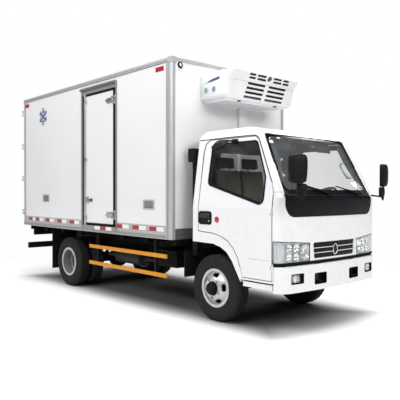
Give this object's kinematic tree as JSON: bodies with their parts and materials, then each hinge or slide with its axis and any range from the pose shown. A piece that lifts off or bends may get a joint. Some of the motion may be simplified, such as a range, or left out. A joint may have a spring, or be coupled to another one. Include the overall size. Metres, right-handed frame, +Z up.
{
  "type": "refrigerated truck",
  "caption": "Cab-over light truck with an insulated white cargo body, a roof-height cooling unit over the cab, a kerb-side hinged door, twin rear doors and twin rear wheels",
  "frame": {"origin": "on the ground under the middle of the overall bounding box", "axes": "+X forwards, +Y to the left (driver side), +Z up"},
  "size_m": [6.1197, 2.2349, 3.138],
  "materials": {
    "chassis_black": "semi-gloss chassis paint",
    "cast_grey": "rough cast",
    "steel_dull": "dull steel",
    "guard_orange": "satin orange-yellow paint",
    "rubber_black": "matt",
    "lamp_red": "gloss",
    "panel_white": "smooth white insulated panel",
    "frame_alloy": "satin",
    "unit_white": "moulded casing",
    "cab_white": "gloss white",
    "glass_clear": "clear, light blue",
    "glass_tinted": "brown tint",
    "plastic_grey": "grained",
    "plastic_black": "satin black",
    "seat_fabric": "woven",
    "lamp_clear": "clear lens",
    "tyre_rubber": "matt tread",
    "wheel_silver": "silver paint"
  },
  "bodies": {
    "truck": {"frame": "chassis_black", "body_bearers": "chassis_black", "front_axle": "cast_grey", "rear_axle": "cast_grey", "leaf_springs": "chassis_black", "power_unit": "cast_grey", "drive_shaft": "cast_grey", "exhaust": "steel_dull", "fuel_tank": "steel_dull", "battery_box": "chassis_black", "side_guards": "guard_orange", "underride_bar": "chassis_black", "mud_flaps": "rubber_black", "tail_lamps": "lamp_red", "box_floor": "panel_white", "box_roof": "panel_white", "box_front_wall": "panel_white", "box_left_wall": "panel_white", "box_right_wall": "panel_white", "box_rear_frame": "frame_alloy", "refrigeration_unit": "unit_white", "cab_shell": "cab_white", "cab_glass": "glass_clear", "dashboard": "plastic_grey", "seats": "seat_fabric", "front_bumper": "cab_white", "headlamps": "lamp_clear", "grille": "plastic_black", "mirrors": "plastic_black", "air_intake": "plastic_black"},
    "knuckle_right": {"knuckle_right": "cast_grey"},
    "knuckle_left": {"knuckle_left": "cast_grey"},
    "front_wheel_right": {"front_tyre_right": "tyre_rubber", "front_rim_right": "wheel_silver"},
    "front_wheel_left": {"front_tyre_left": "tyre_rubber", "front_rim_left": "wheel_silver"},
    "rear_wheels_right": {"rear_tyres_right": "tyre_rubber", "rear_rims_right": "wheel_silver"},
    "rear_wheels_left": {"rear_tyres_left": "tyre_rubber", "rear_rims_left": "wheel_silver"},
    "steering_wheel": {"steering_wheel": "plastic_black"},
    "cab_door_right": {"cab_door_right": "cab_white", "door_glass_right": "glass_tinted", "kerb_mirror": "plastic_black"},
    "cab_door_left": {"cab_door_left": "cab_white", "door_glass_left": "glass_tinted"},
    "side_door": {"side_door": "panel_white"},
    "rear_door_right": {"rear_door_right": "panel_white"},
    "rear_door_left": {"rear_door_left": "panel_white"}
  },
  "joints": [
    {"name": "steer_right", "type": "hinge", "parent": "truck", "child": "knuckle_right", "pos_m": [1.715, -0.64, 0.389], "axis": [0, 0, 1], "range_deg": [-32, 32]},
    {"name": "steer_left", "type": "hinge", "parent": "truck", "child": "knuckle_left", "pos_m": [1.715, 0.64, 0.389], "axis": [0, 0, 1], "range_deg": [-32, 32]},
    {"name": "spin_front_right", "type": "hinge", "parent": "knuckle_right", "child": "front_wheel_right", "pos_m": [1.715, -0.756, 0.389], "axis": [0, 1, 0], "continuous": true},
    {"name": "spin_rear_right", "type": "hinge", "parent": "truck", "child": "rear_wheels_right", "pos_m": [-1.593, -0.728, 0.389], "axis": [0, 1, 0], "continuous": true},
    {"name": "spin_front_left", "type": "hinge", "parent": "knuckle_left", "child": "front_wheel_left", "pos_m": [1.715, 0.756, 0.389], "axis": [0, 1, 0], "continuous": true},
    {"name": "spin_rear_left", "type": "hinge", "parent": "truck", "child": "rear_wheels_left", "pos_m": [-1.593, 0.728, 0.389], "axis": [0, 1, 0], "continuous": true},
    {"name": "steering_wheel_turn", "type": "hinge", "parent": "truck", "child": "steering_wheel", "pos_m": [2.275, 0.4, 1.44], "axis": [-0.5299, 0, 0.848], "range_deg": [-352, 352]},
    {"name": "cab_door_right_open", "type": "hinge", "parent": "truck", "child": "cab_door_right", "pos_m": [2.633, -0.922, 1], "axis": [0, 0, 1], "range_deg": [0, 70]},
    {"name": "cab_door_left_open", "type": "hinge", "parent": "truck", "child": "cab_door_left", "pos_m": [2.633, 0.922, 1], "axis": [0, 0, -1], "range_deg": [0, 70]},
    {"name": "side_door_open", "type": "hinge", "parent": "truck", "child": "side_door", "pos_m": [-0.083, -1.09, 1.98], "axis": [0, 0, 1], "range_deg": [0, 180]},
    {"name": "rear_door_right_open", "type": "hinge", "parent": "truck", "child": "rear_door_right", "pos_m": [-3.041, -1.068, 2.029], "axis": [0, 0, 1], "range_deg": [0, 270]},
    {"name": "rear_door_left_open", "type": "hinge", "parent": "truck", "child": "rear_door_left", "pos_m": [-3.041, 1.068, 2.029], "axis": [0, 0, -1], "range_deg": [0, 270]}
  ],
  "couplings": [
    {"joint": "steer_left", "follows": "steer_right", "ratio": 1},
    {"joint": "steering_wheel_turn", "follows": "steer_right", "ratio": 11}
  ]
}
